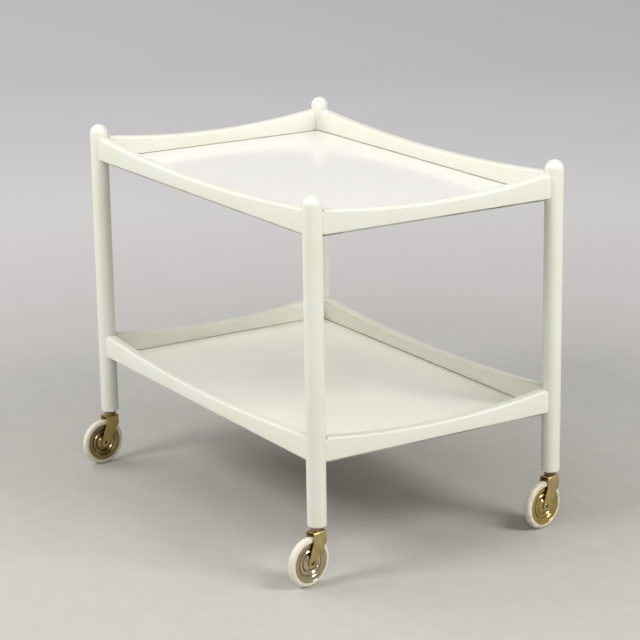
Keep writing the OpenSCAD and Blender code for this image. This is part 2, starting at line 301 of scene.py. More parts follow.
def stand_in(piece: bpy.types.Object, body: str, slot: str, *nodes: str) -> None:
    """Let a finished piece ride on its body in place of CAD nodes, and report it.

    Args:
        piece: The finished piece.
        body: The CAD body that carries it.
        slot: The record's material slot name; it is not used.
        *nodes: The CAD nodes that it stands for.
    """
    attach(piece, body)
    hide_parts(*nodes)
    LOG.info("%s rides on %s for %s", piece.name, body, ", ".join(nodes))


def dress(cad: dict, node: str, material: bpy.types.Material) -> None:
    """Give a carried CAD node its finish and report it.

    Args:
        cad: The frame's CAD nodes by name.
        node: The node's name.
        material: Its finish.
    """
    carried = cad[node]
    if not carried.material_slots:
        carried.data.materials.append(material)
    for slot in carried.material_slots:
        slot.material = material
    LOG.info("%s is dressed in %s", node, material.name)


# ---------------------------------------------------------------- finishes


class Skin:
    """A material in the making: its shader, and short calls for what a finish draws on it."""

    def __init__(self, finish: Finish) -> None:
        """Start the material.

        Args:
            finish: What gives its name, colour and gloss.
        """
        self.material = bpy.data.materials.new(finish.name)
        self.material.use_nodes = True
        self.tree = self.material.node_tree
        self.tree.nodes.clear()
        colour = linear(finish.colour)
        values = {"Base Color": colour, "Roughness": finish.roughness, "Metallic": finish.metallic}
        self.shader = add(self.tree, "ShaderNodeBsdfPrincipled", values)
        self.output = add(self.tree, "ShaderNodeOutputMaterial", {"Surface": self.shader.outputs["BSDF"]})
        self.place = add(self.tree, "ShaderNodeTexCoord").outputs["Object"]

    def feed(self, name: str, value: Socket) -> None:
        """Link a value to one of the shader's inputs."""
        self.tree.links.new(value, self.shader.inputs[name])

    def stretched(self, scale: Triple, turn: float = 0.0) -> Socket:
        """Give the surface's point, scaled along each axis and then turned about Z."""
        values = {"Vector": self.place, "Scale": scale, "Rotation": (0.0, 0.0, turn)}
        return add(self.tree, "ShaderNodeMapping", values).outputs["Vector"]

    def noise(self, scale: float, detail: float, place: Socket | None = None, rough: float = 0.5) -> Socket:
        """Draw clouds.

        Args:
            scale: How many there are in a metre.
            detail: Layers of finer clouds on top.
            place: Where they are drawn, if not at the surface's plain point.
            rough: Strength of each finer layer.

        Returns:
            A value that wanders round 0.5.
        """
        values = {"Scale": scale, "Detail": detail, "Roughness": rough}
        values["Vector"] = self.place if place is None else place
        return add(self.tree, "ShaderNodeTexNoise", values).outputs["Fac"]

    def ramp(self, value: Socket, span: Point, to: Point = (0.0, 1.0), **settings: object) -> Socket:
        """Stretch one range of a value to another, and hold it at both ends."""
        limits = {"From Min": span[0], "From Max": span[1], "To Min": to[0], "To Max": to[1]}
        return add(self.tree, "ShaderNodeMapRange", {"Value": value, **limits}, **settings).outputs["Result"]

    def spots(self, radius: float, gap: float, strength: float) -> Socket:
        """Draw scattered spots: spheres round random points, of which the surface cuts only a few.

        Args:
            radius: Their radius, in millimetres.
            gap: How far apart their middles are, in millimetres.
            strength: The value in a spot's middle.

        Returns:
            A value that falls to 0 at each spot's rim.
        """
        cells = add(self.tree, "ShaderNodeTexVoronoi", {"Vector": self.place, "Scale": 1 / (gap * MM)})
        rim = radius / gap
        return self.ramp(cells.outputs["Distance"], (rim * 0.5, rim), (strength, 0.0))

    def blend(self, share: Socket, under: str | Socket, over: str | Socket) -> Socket:
        """Mix two colours, each a hex code or a socket, by the share of the second."""
        first, second = (linear(c) if isinstance(c, str) else c for c in (under, over))
        return add(self.tree, "ShaderNodeMix", {0: share, 6: first, 7: second}, data_type="RGBA").outputs[2]

    def relief(self, height: Socket, depth: float, strength: float) -> None:
        """Shade the surface as if it were raised by a height of some millimetres."""
        values = {"Height": height, "Distance": depth * MM, "Strength": strength}
        self.feed("Normal", add(self.tree, "ShaderNodeBump", values).outputs["Normal"])


@dataclass(frozen=True)
class Finish:
    """A surface as it was made: its name, colour and gloss, and the pattern that its nodes draw on it."""

    name: str
    colour: str
    roughness: float
    metallic: float = 0.0

    def material(self) -> bpy.types.Material:
        """Build the finish's material on first use.

        Returns:
            The material, with the finish's own pattern linked to its shader.
        """
        made = bpy.data.materials.get(self.name)
        if made is None:
            skin = Skin(self)
            self.pattern(skin)
            made = skin.material
        return made

    def pattern(self, skin: Skin) -> None:
        """Draw the finish's pattern on its material."""
        raise NotImplementedError


@dataclass(frozen=True)
class SprayedLacquer(Finish):
    """Cream lacquer sprayed on turned and planed beech: a satin gloss, faint orange peel, some yellowing."""

    name: str = "sprayed cream lacquer on beech"
    colour: str = "#E3E3D8"
    roughness: float = 0.34
    aged: str = "#E2DFCC"
    speck: str = "#7C6C50"
    speck_radius: float = 0.45
    speck_gap: float = 19.0
    peel: float = 3.2
    # Painted shade: the dark line where rails and posts meet the panels stands for the shade in that gap,
    # with some soiling
    grime_and_shade: str = "#4A4132"
    seam: float = 0.8
    sills: tuple[float, ...] = ()
    inside: Triple = (0.3335, 0.2125, 0.01809)

    def pattern(self, skin: Skin) -> None:
        """Draw yellowed patches, rare specks, a dark line of painted shade with some soiling along the
        panels, and orange peel.

        Args:
            skin: The material that it is drawn on.
        """
        # Patches about 90 mm across, where the lacquer has yellowed unevenly
        patches = skin.noise(11.0, 3.0)
        coat = skin.blend(skin.ramp(patches, (0.42, 0.75)), self.colour, self.aged)
        # Specks and tiny dents
        coat = skin.blend(skin.spots(self.speck_radius, self.speck_gap, 0.8), coat, self.speck)
        # The base colour darkens along the panels: painted shade of the gap, with some soiling
        skin.feed("Base Color", skin.blend(self.seam_shade_and_soil(skin), coat, self.grime_and_shade))
        # Orange peel a few hundredths of a millimetre high
        skin.relief(skin.noise(1 / (self.peel * MM), 1.0), 0.05, 0.5)
        gloss = (self.roughness - 0.06, self.roughness + 0.08)
        skin.feed("Roughness", skin.ramp(patches, (0.0, 1.0), gloss))

    def seam_shade_and_soil(self, skin: Skin) -> Socket:
        """Find the thin lines of painted shade, with some soiling, on rails and posts where they meet the
        panels.

        Args:
            skin: The material that they are drawn on.

        Returns:
            The share of painted shade and soiling, from 0 to 1.
        """
        count = partial(calc, skin.tree)
        half_x, half_y, centre_y = self.inside
        spot = add(skin.tree, "ShaderNodeSeparateXYZ", {0: skin.place}).outputs
        within_x = count("COMPARE", spot["X"], 0.0, half_x)
        within_y = count("COMPARE", count("SUBTRACT", spot["Y"], centre_y), 0.0, half_y)
        reach = self.seam * MM / 2
        near = 0.0
        for sill in self.sills:
            near = count("ADD", count("COMPARE", spot["Z"], sill + reach, reach), near)
        # Thicker and thinner along the joint, in runs of about 40 mm
        deep = skin.ramp(skin.noise(25.0, 2.0), (0.3, 0.6), (0.6, 1.0))
        share = count("MULTIPLY", count("MULTIPLY", within_x, within_y), near)
        return count("MULTIPLY", share, deep)


@dataclass(frozen=True)
class GlossLaminate(Finish):
    """Decorative laminate pressed between polished plates: it mirrors the rails, with a ripple and smears."""

    name: str = "gloss cream laminate"
    colour: str = "#EAE8E3"
    roughness: float = 0.13
    smear: float = 0.05
    worn: str = "#E6E4DC"
    ripple: float = 0.35

    def pattern(self, skin: Skin) -> None:
        """Draw wiping smears in the gloss and the ripple of the board below.

        Args:
            skin: The material that it is drawn on.
        """
        # Smears of wiping about 60 mm long and 20 mm wide
        wiped = skin.noise(1.0, 4.0, skin.stretched((16.0, 48.0, 16.0), 0.5))
        skin.feed("Roughness", skin.ramp(wiped, (0.4, 0.75), (self.roughness, self.roughness + self.smear)))
        skin.feed("Base Color", skin.blend(wiped, self.colour, self.worn))
        # Ripple about 25 mm long that bends the mirrored edges a little
        skin.relief(skin.noise(40.0, 1.0), 0.06, self.ripple)


@dataclass(frozen=True)
class ScreenedHardboard(Finish):
    """Hardboard pressed on a wire screen: dark brown fibre with a fine weave printed in its back."""

    name: str = "screen-backed hardboard"
    colour: str = "#5E442C"
    roughness: float = 0.78
    pale: str = "#96744F"
    pitch: float = 2.4
    edge: str = "#8D8474"
    sprayed: str = "#C9C5B6"

    def pattern(self, skin: Skin) -> None:
        """Draw the fibres, the greyed edges and the print of the screen.

        Args:
            skin: The material that it is drawn on.
        """
        # Fibre bundles a few millimetres long, dark and light
        fibre = skin.noise(1.0, 5.0, skin.stretched((180.0, 420.0, 420.0), 0.7))
        face = skin.blend(skin.ramp(fibre, (0.3, 0.7)), self.colour, self.pale)
        # Sawn edges stand upright and are greyed by lacquer spray in runs of about 60 mm
        normal = add(skin.tree, "ShaderNodeNewGeometry").outputs["Normal"]
        upright = add(skin.tree, "ShaderNodeSeparateXYZ", {0: normal}).outputs["Z"]
        sawn = skin.blend(skin.ramp(skin.noise(16.0, 2.0), (0.35, 0.6)), self.edge, self.sprayed)
        skin.feed("Base Color", skin.blend(calc(skin.tree, "COMPARE", upright, 0.0, 0.5), face, sawn))
        # The screen's wires, crossed at a pitch drawn coarser than the real 1.5 mm so that it shows
        values = {"Vector": skin.place, "Scale": WAVE / (self.pitch * MM)}
        wires = (add(skin.tree, "ShaderNodeTexWave", values, bands_direction=way) for way in "XY")
        skin.relief(calc(skin.tree, "MULTIPLY", *(wire.outputs["Fac"] for wire in wires)), 0.25, 0.8)


@dataclass(frozen=True)
class BareBeech(Finish):
    """Dowel-turned beech, unfinished: pale pinkish wood with short dark flecks along the grain."""

    name: str = "bare turned beech"
    colour: str = "#D9BC92"
    roughness: float = 0.62
    fleck: str = "#A8845A"

    def pattern(self, skin: Skin) -> None:
        """Draw ray flecks 2 to 3 mm long and half a millimetre wide."""
        grain = skin.noise(1.0, 3.0, skin.stretched((400.0, 1600.0, 1600.0)))
        skin.feed("Base Color", skin.blend(skin.ramp(grain, (0.5, 0.7)), self.colour, self.fleck))


@dataclass(frozen=True)
class AgedBrass(Finish):
    """Brass-plated pressed steel, aged: a satin bronze-gold with darker patches, fine grime and pits."""

    name: str = "aged brass plate"
    colour: str = "#CEB980"
    roughness: float = 0.3
    metallic: float = 1.0
    dark: str = "#AE9C6B"
    dulled: float = 0.18
    patch: float = 14.0
    pit: str = "#3B2E1C"
    pit_radius: float = 0.7
    pit_gap: float = 13.0

    def pattern(self, skin: Skin) -> None:
        """Draw the darkened patches, the fine grime and the uneven gloss.

        Args:
            skin: The material that it is drawn on.
        """
        # Tarnish in cloudy patches, with grime under a millimetre across on top
        cloud = calc(skin.tree, "MULTIPLY", skin.noise(1 / (self.patch * MM), 4.0), 0.75)
        grime_and_shade = skin.noise(1100.0, 2.0)
        share = skin.ramp(calc(skin.tree, "MULTIPLY_ADD", grime_and_shade, 0.25, cloud), (0.38, 0.66))
        plate = skin.blend(share, self.colour, self.dark)
        # Rare pits of corrosion a millimetre across
        skin.feed("Base Color", skin.blend(skin.spots(self.pit_radius, self.pit_gap, 0.9), plate, self.pit))
        gloss = (self.roughness, self.roughness + self.dulled)
        skin.feed("Roughness", skin.ramp(share, (0.0, 1.0), gloss))
        skin.relief(grime_and_shade, 0.03, 0.4)


@dataclass(frozen=True)
class ZincSteel(Finish):
    """Zinc-plated steel, dulled: cool grey with a fine crystal mottle."""

    name: str = "dull zinc-plated steel"
    colour: str = "#8F8F90"
    roughness: float = 0.42
    metallic: float = 1.0
    mottle: str = "#5F5C57"

    def pattern(self, skin: Skin) -> None:
        """Draw the mottle of the plating, about 2 mm across."""
        skin.feed("Base Color", skin.blend(skin.noise(500.0, 3.0), self.colour, self.mottle))


@dataclass(frozen=True)
class MouldedRubber(Finish):
    """Moulded off-white rubber, used: matt, creamy, with grey-brown dirt in soft mottles and fine grit."""

    name: str = "moulded off-white rubber"
    colour: str = "#DDD7C4"
    roughness: float = 0.6
    dirt_and_shade: str = "#A3957A"
    soiled: float = 0.5

    def pattern(self, skin: Skin) -> None:
        """Draw the dirt and the matt skin.

        Args:
            skin: The material that it is drawn on.
        """
        # Dirt in mottles about 10 mm across that break up into grit of a millimetre
        mottle = skin.noise(95.0, 6.0, rough=0.65)
        clean = 0.72 - 0.3 * self.soiled
        share = skin.ramp(mottle, (clean, clean + 0.3))
        skin.feed("Base Color", skin.blend(share, self.colour, self.dirt_and_shade))
        skin.relief(mottle, 0.15, 0.4)


# ---------------------------------------------------------------- geometry node trees


class Tree:
    """A geometry node tree with named sizes that ends in Realize Instances and Set Material."""

    def __init__(self, name: str, sizes: dict[str, float]) -> None:
        """Start the tree with its group inputs.

        Args:
            name: The tree's name.
            sizes: Each input's name and default, a whole number for a count and metres for a length.
        """
        self.nodes = bpy.data.node_groups.new(name, "GeometryNodeTree")
        sockets = self.nodes.interface
        sockets.new_socket("Geometry", in_out="INPUT", socket_type="NodeSocketGeometry")
        sockets.new_socket("Finish", in_out="INPUT", socket_type="NodeSocketMaterial")
        for title, value in sizes.items():
            kind = "NodeSocketInt" if isinstance(value, int) else "NodeSocketFloat"
            sockets.new_socket(title, in_out="INPUT", socket_type=kind).default_value = value
        sockets.new_socket("Geometry", in_out="OUTPUT", socket_type="NodeSocketGeometry")
        self.inputs = add(self.nodes, "NodeGroupInput").outputs

    def close(self, shape: Socket) -> None:
        """End the tree.

        Args:
            shape: The geometry that it has made.
        """
        real = add(self.nodes, "GeometryNodeRealizeInstances", {"Geometry": shape})
        dressed = {"Geometry": real.outputs["Geometry"], "Material": self.inputs["Finish"]}
        finish = add(self.nodes, "GeometryNodeSetMaterial", dressed)
        add(self.nodes, "NodeGroupOutput", {"Geometry": finish.outputs["Geometry"]})

    def grow(self, seed: bpy.types.Mesh, finish: Finish, sizes: dict[str, float]) -> bpy.types.Mesh:
        """Run the tree on a seed mesh.

        Args:
            seed: What the tree starts from. It is used up.
            finish: What the result wears.
            sizes: Values for the tree's named inputs.

        Returns:
            The result as a plain mesh with the seed's name.
        """
        name = seed.name
        holder = shown(name, seed)
        modifier = holder.modifiers.new("grow", "NODES")
        modifier.node_group = self.nodes
        names = {s.name: s.identifier for s in self.nodes.interface.items_tree if s.in_out == "INPUT"}
        modifier[names["Finish"]] = finish.material()
        for title, value in sizes.items():
            modifier[names[title]] = value
        evaluated = holder.evaluated_get(bpy.context.evaluated_depsgraph_get())
        mesh = bpy.data.meshes.new_from_object(evaluated)
        bpy.data.objects.remove(holder)
        bpy.data.meshes.remove(seed)
        mesh.name = name
        return mesh


def turning_tree() -> Tree:
    """Build the tree that turns a section round the Z axis.

    Returns:
        The tree. Its seed is a line of (radius, -height) points.
    """
    tree = Tree("turned on the Z axis", {"Segments": 96, "Core": 1 * MM})
    group, source = tree.nodes, tree.inputs
    shift = add(group, "ShaderNodeCombineXYZ", {"X": calc(group, "MULTIPLY", source["Core"], -1.0)})
    values = {"Geometry": source["Geometry"], "Translation": shift.outputs[0]}
    moved = add(group, "GeometryNodeTransform", values)
    section = add(group, "GeometryNodeMeshToCurve", {"Mesh": moved.outputs["Geometry"]})
    ring = {"Resolution": source["Segments"], "Radius": source["Core"]}
    core = add(group, "GeometryNodeCurvePrimitiveCircle", ring)
    swept = {"Curve": core.outputs["Curve"], "Profile Curve": section.outputs["Curve"]}
    tree.close(add(group, "GeometryNodeCurveToMesh", swept).outputs["Mesh"])
    return tree


def rail_tree() -> Tree:
    """Build the tree that runs a rail's section from post to post.

    The section is swept along X from -1 to 1, then each point goes to its place: the ends follow the round of
    the posts, the upper half follows the hollow top and its rounded end corners, and the underside rises in
    an eased corner at its very ends.

    Returns:
        The tree. Its seed is the closed section, drawn as (across, up).
    """
    sizes = {"Half": 0.342, "Post": 15 * MM, "Middle": 23.5 * MM, "End": 38.5 * MM, "Corner": 4 * MM}
    tree = Tree("rail between two posts", {**sizes, "Low Corner": 3 * MM, "Stations": 97})
    group, source = tree.nodes, tree.inputs
    kinds = ("ADD", "SUBTRACT", "MULTIPLY", "POWER", "SQRT", "ABSOLUTE", "MAXIMUM")
    plus, minus, times, power, root, size, most = (partial(calc, group, kind) for kind in kinds)
    half, post, low_corner = (source[name] for name in ("Half", "Post", "Low Corner"))

    def bitten(past: Socket, radius: Socket) -> Socket:
        """Give how far a round corner has cut in, some way past its start."""
        rest = minus(power(radius, 2.0), power(most(past, 0.0), 2.0))
        return minus(radius, root(most(rest, 0.0)))

    line = add(group, "GeometryNodeCurvePrimitiveLine", {"Start": (-1.0, 0.0, 0.0), "End": (1.0, 0.0, 0.0)})
    stations = {"Curve": line.outputs["Curve"], "Count": source["Stations"]}
    path = add(group, "GeometryNodeResampleCurve", stations)
    section = add(group, "GeometryNodeMeshToCurve", {"Mesh": source["Geometry"]})
    swept = {"Curve": path.outputs["Curve"], "Profile Curve": section.outputs["Curve"], "Fill Caps": True}
    bar = add(group, "GeometryNodeCurveToMesh", swept)
    spot = add(group, "ShaderNodeSeparateXYZ", {0: add(group, "GeometryNodeInputPosition").outputs[0]})
    along, across, up = spot.outputs
    # Stations crowd towards the ends, where the corners are
    crowding = 2.1
    spread = minus(1.0, power(minus(1.0, size(along)), crowding))
    reach = minus(half, root(minus(power(post, 2.0), power(across, 2.0))))
    x = times(times(calc(group, "SIGN", along), spread), reach)
    # Height of the hollow over its lowest point, an arc from post to post
    clear = minus(half, post)
    rise = minus(source["End"], source["Middle"])
    sides = plus(power(clear, 2.0), power(rise, 2.0))
    radius = calc(group, "DIVIDE", calc(group, "DIVIDE", sides, rise), 2.0)
    within = calc(group, "MINIMUM", size(x), clear)
    arc = minus(radius, root(minus(power(radius, 2.0), power(within, 2.0))))
    # The corner beside the post drops, and the one at the end of the underside rises
    drop = bitten(minus(within, minus(clear, source["Corner"])), source["Corner"])
    ease = bitten(minus(size(x), minus(reach, low_corner)), low_corner)
    high = calc(group, "GREATER_THAN", up, times(source["Middle"], 0.5))
    lift = plus(times(high, minus(arc, drop)), times(minus(1.0, high), ease))
    target = add(group, "ShaderNodeCombineXYZ", {"X": x, "Y": across, "Z": plus(up, lift)})
    placed = {"Geometry": bar.outputs["Mesh"], "Position": target.outputs[0]}
    tree.close(add(group, "GeometryNodeSetPosition", placed).outputs["Geometry"])
    return tree


# ---------------------------------------------------------------- the trolley


@dataclass
class Posts:
    """Four turned posts with domed tops and eased feet, bored for their caster sockets."""

    turning: Tree
    lacquer: Finish
    radius: float = 15.0
    dome: float = 13.5
    ease: float = 3.0
    bore: float = 5.55
    bore_depth: float = 36.5
    segments: int = 72
    arc_steps: int = 28

    def section(self, foot: float, top: float) -> list[Point]:
        """Draw half of a post's upright section.

        Args:
            foot: Height of the post's foot, in millimetres.
            top: Height of its top, in millimetres.

        Returns:
            Points of (radius, height) from the top down to the end of the bore.
        """
        ball = (self.radius**2 + self.dome**2) / (2 * self.dome)
        reach = math.asin(self.radius / ball)
        turns = [reach * k / self.arc_steps for k in range(self.arc_steps)]
        dome = [(ball * math.sin(turn), top - ball + ball * math.cos(turn)) for turn in turns]
        end = foot + self.bore_depth
        hole = [(self.bore, foot, 0), (self.bore, end, 0), (0, end, 0)]
        shaft = [(self.radius, top - self.dome, 0), (self.radius, foot, self.ease), *hole]
        return dome + rounded(shaft, closed=False)

    def build(self) -> None:
        """Build and dress the four posts."""
        for corner in Corner:
            node = f"post_{corner.value}"
            low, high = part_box(node)
            middle = (low + high) / 2
            points = self.section(low.z / MM, high.z / MM)
            seed = line_mesh(node, [(r, -z) for r, z in points], closed=False)
            mesh = self.turning.grow(seed, self.lacquer, {"Segments": self.segments})
            place = Matrix.Translation((middle.x, middle.y, 0))
            stand_in(settled(f"turned_{node}", mesh, place), "frame", "cream_lacquer", node)


@dataclass
class Rails:
    """Eight hollow-topped rails, coped to the posts, whose flat undersides lie on the tray boards."""

    lacquer: Finish
    tree: Tree = field(default_factory=rail_tree)
    thickness: float = 17.6
    middle: float = 23.5
    end: float = 38.5
    top_round: float = 4.0
    low_round: float = 2.0
    corner: float = 4.0
    low_corner: float = 3.0
    post: float = 15.0
    joint: float = 0.12
    spans: Point = (684.0, 441.0)
    segments: int = 97

    def section(self) -> list[Point]:
        """Draw the rail's section halfway between its posts.

        Returns:
            Points of (across, up) in millimetres, with the inner side at positive across.
        """
        half = self.thickness / 2
        outer = [(-half, 0, self.low_round), (-half, self.middle, self.top_round)]
        return rounded(outer + [(-y, z, turn) for y, z, turn in reversed(outer)], closed=True)

    def build(self) -> None:
        """Build and dress the eight rails."""
        centre_y = sum(point.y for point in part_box("upper_laminate")) / 2
        for level in Level:
            for side in Side:
                self.build_one(level, side, centre_y)

    def build_one(self, level: Level, side: Side, centre_y: float) -> None:
        """Build and dress one rail.

        Args:
            level: The tray that it belongs to.
            side: The side that it closes.
            centre_y: The frame's middle along Y, in metres.
        """
        node = f"{level.value}_rail_{side.name.lower()}"
        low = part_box(node)[0]
        turned = side.value // 90 % 2
        span, off = self.spans[turned], self.spans[1 - turned] / 2
        seed = line_mesh(node, [(-across, -up) for across, up in self.section()], closed=True)
        lengths = {"Half": span / 2, "Post": self.post + self.joint, "Middle": self.middle, "End": self.end}
        lengths |= {"Corner": self.corner, "Low Corner": self.low_corner}
        sizes = {title: length * MM for title, length in lengths.items()}
        mesh = self.tree.grow(seed, self.lacquer, {**sizes, "Stations": self.segments})
        turn = Matrix.Rotation(math.radians(side.value), 4, "Z")
        place = Matrix.Translation((0, centre_y, low.z)) @ turn @ Matrix.Translation((0, -off * MM, 0))
        stand_in(settled(f"hollow_{node}", mesh, place, crease=40), "frame", "cream_lacquer", node)


@dataclass
class Trays:
    """The two tray panels: laminate on hardboard, with their screws, and the dowels inside the joints."""

    cad: dict
    tops: dict[Level, Finish]
    board: Finish
    dowel: Finish
    screw: Finish

    def build(self) -> None:
        """Dress the carried CAD nodes of both trays."""
        rest = {"board": self.board, "dowels": self.dowel, "screws": self.screw}
        for level in Level:
            for part, finish in {"laminate": self.tops[level], **rest}.items():
                dress(self.cad, f"{level.value}_{part}", finish.material())


@dataclass(frozen=True)
class Spindle:
    """The line that a wheel turns on, with the lathe for the pieces round it."""

    middle: Vector
    axis: Vector
    lathe: Tree
    segments: int = 96

    def turned(self, name: str, points: list[Point], finish: Finish) -> bpy.types.Object:
        """Turn a section round the line.

        Args:
            name: The piece's name.
            points: The section's points of (radius, distance along the line) in millimetres. It is a closed
                line, unless it starts and ends on the line itself.
            finish: The piece's finish.

        Returns:
            The piece, in its place.
        """
        seed = line_mesh(name, [(r, -h) for r, h in points], closed=points[0][0] > 0)
        mesh = self.lathe.grow(seed, finish, {"Segments": self.segments})
        return settled(name, mesh, axis_frame(self.middle, self.axis))

    def soil(self, piece: bpy.types.Object, dirt_and_shade: Finish, bands: tuple[Point, ...]) -> None:
        """Give the faces in some rings round the line another, darker finish: painted shade in grooves and
        hollows, with some soiling.

        Args:
            piece: The piece that they belong to.
            dirt_and_shade: The other finish.
            bands: Each ring's inner and outer radius, in millimetres.
        """
        piece.data.materials.append(dirt_and_shade.material())
        for face in piece.data.polygons:
            radius = (face.center - self.middle).cross(self.axis).length / MM
            if any(low < radius < high for low, high in bands):
                face.material_index = 1


@dataclass
class Wheel:
    """A wheel: two pressed discs riveted on a hub bush, with a solid rubber tyre between their rims."""

    corner: Corner
    spindle: Spindle
    plate: Finish
    dirt_and_shade: Finish
    rubber: Finish
    hub_radius: float = 5.0
    hub_reach: float = 7.1
    flange: Point = (6.5, 0.6)
    bore: float = 3.05
    disc_metal: float = 1.0
    stations: tuple[Point, ...] = (
        (5.0, 7.1),
        (6.5, 7.1),
        (14.5, 3.4),
        (18.5, 5.9),
        (21.5, 4.2),
        (24.6, 5.6),
        (30.25, 5.6),
        (31.0, 5.9),
        (31.75, 5.6),
    )
    disc_steps: int = 8
    # Rings, in millimetres, that take the darker finish: painted shade of the grooves and the rim, with some
    # tarnish
    grooves: tuple[Point, ...] = ((13.7, 15.3), (20.9, 22.3), (24.5, 25.3), (31.0, 31.9))
    tyre_radius: float = 38.75
    tyre_half: float = 6.0
    tyre_seat: float = 26.75
    shoulder: float = 4.5

    def disc_section(self, face: float) -> list[Point]:
        """Draw a pressed disc's section.

        Args:
            face: 1 for the disc on the axle's positive side and -1 for the other.

        Returns:
            A closed line of (radius, height along the axle) in millimetres.
        """
        outer: list[Point] = []
        for (r0, h0), (r1, h1) in zip(self.stations, self.stations[1:]):
            for k in range(self.disc_steps):
                t = k / self.disc_steps
                outer.append((r0 + (r1 - r0) * t, h0 + (h1 - h0) * (1 - math.cos(math.pi * t)) / 2))
        outer.append(self.stations[-1])
        inner = [(r, h - self.disc_metal) for r, h in reversed(outer)]
        return [(r, h * face) for r, h in outer + inner]

    def tyre_section(self) -> list[Point]:
        """Draw the tyre's section, with a flat band beside each disc and round shoulders.

        Returns:
            A closed line of (radius, height along the axle) in millimetres.
        """
        lip, rim = self.stations[-1]
        waist = rim - self.disc_metal
        seat, half, tread, turn = self.tyre_seat, self.tyre_half, self.tyre_radius, self.shoulder
        outer = [(lip, -half, 0), (tread, -half, turn), (tread, half, turn), (lip, half, 0)]
        inner = [(lip, waist, 0), (seat, waist, 0), (seat, -waist, 0), (lip, -waist, 0)]
        return rounded(outer + inner, closed=True, steps=10)

    def hub_section(self) -> list[Point]:
        """Draw the hub bush, rolled over the discs at both ends.

        Returns:
            A closed line of (radius, height along the axle) in millimetres.
        """
        wide, thick = self.flange
        disc, end = -self.hub_reach, -self.hub_reach - thick
        left = [(self.bore, end, 0), (wide, end, thick / 2), (wide, disc, 0), (self.hub_radius, disc, 0)]
        return rounded(left + [(r, -h, turn) for r, h, turn in reversed(left)], closed=True, steps=4)

    def build(self) -> None:
        """Build and dress the wheel's pieces: two discs whose grooves are painted darker as their shade, with
        some tarnish, the tyre and the hub.
        """
        word = self.corner.value
        body = f"wheel_{word}"
        for side, face in (("right", 1), ("left", -1)):
            node = f"{side}_disc_{word}"
            disc = self.spindle.turned(f"pressed_{node}", self.disc_section(face), self.plate)
            # Painted shade: the grooves take the darker finish, with some tarnish
            self.spindle.soil(disc, self.dirt_and_shade, self.grooves)
            stand_in(disc, body, "brass", node)
        tyre = self.spindle.turned(f"solid_tyre_{word}", self.tyre_section(), self.rubber)
        stand_in(tyre, body, "cream_rubber", f"tyre_{word}")
        hub = self.spindle.turned(f"hub_bush_{word}", self.hub_section(), self.plate)
        stand_in(hub, body, "brass", f"hub_{word}")


@dataclass
class Caster:
    """A swivel caster: fork, riveted axle, stem, washer and the socket in its post."""

    corner: Corner
    spindle: Spindle
    cad: dict
    brass: Finish
    # The fork edges' paler finish: rubbed wear, and partly a painted highlight
    worn: Finish
    bronze: Finish
    # The dark finish painted in the rivet hollows as their shade
    grime_and_shade: Finish
    weld: float = 0.005
    flat: float = 1.0
    crease: float = 40.0
    edge: float = 0.5
    plate: float = 9.8
    axle: float = 3.0
    head: Point = (3.7, 1.4)
    recess: Point = (2.6, 0.8)
    head_steps: int = 6

    def soften(self, node: str, name: str) -> bpy.types.Object:
        """Copy a CAD node, join its triangles and round its sharp edges, which take a paler finish that is
        partly rubbed wear and partly a painted highlight.

        Args:
            node: The CAD node.
            name: The new piece's name.

        Returns:
            The piece.
        """
        form = bmesh.new()
        form.from_mesh(self.cad[node].data)
        bmesh.ops.remove_doubles(form, verts=form.verts, dist=self.weld * MM)
        flat, crease = math.radians(self.flat), math.radians(self.crease)
        bmesh.ops.dissolve_limit(form, angle_limit=flat, verts=form.verts, edges=form.edges)
        for face in form.faces:
            face.material_index = 0
        sharp = [e for e in form.edges if e.is_manifold and e.calc_face_angle() > crease]
        size = {"offset": self.edge * MM, "segments": 2, "profile": 0.5}
        # The rounded edges take the second finish: paler rubbed brass, partly wear and partly a painted
        # highlight
        bmesh.ops.bevel(form, geom=sharp, affect="EDGES", clamp_overlap=True, material=1, **size)
        mesh = bpy.data.meshes.new(name)
        form.to_mesh(mesh)
        form.free()
        for finish in (self.brass, self.worn):
            mesh.materials.append(finish.material())
        return settled(name, mesh, Matrix.Identity(4))

    def axle_section(self) -> list[Point]:
        """Draw the axle's section, riveted over at both ends with a hollow in each head.

        Returns:
            Points of (radius, distance from the wheel's middle) in millimetres, from one end to the other.
        """
        wide, high = self.head
        mouth, depth = self.recess
        ball = (wide * wide + high * high) / (2 * high)
        crown = []
        for k in range(self.head_steps + 1):
            r = mouth + (wide - mouth) * k / self.head_steps
            crown.append((r, self.plate + high - ball + math.sqrt(ball * ball - r * r)))
        floor = self.plate + high - depth
        end = [(0.0, floor), (mouth * 0.55, floor), *crown, (self.axle, self.plate)]
        return end + [(r, -h) for r, h in reversed(end)]

    def build(self) -> None:
        """Build the fork and the axle, whose hollow heads are painted dark as their shade, and dress the
        caster's other nodes.
        """
        word = self.corner.value
        body = f"swivel_{word}"
        stand_in(self.soften(f"fork_{word}", f"pressed_fork_{word}"), body, "brass", f"fork_{word}")
        axle = self.spindle.turned(f"riveted_axle_{word}", self.axle_section(), self.bronze)
        # Painted shade: the hollows in the rivet heads take a dark finish
        self.spindle.soil(axle, self.grime_and_shade, ((-1.0, self.recess[0]),))
        stand_in(axle, body, "brass", f"axle_{word}")
        for part in ("socket", "stem", "washer"):
            dress(self.cad, f"{part}_{word}", self.bronze.material())


# ---------------------------------------------------------------- studio


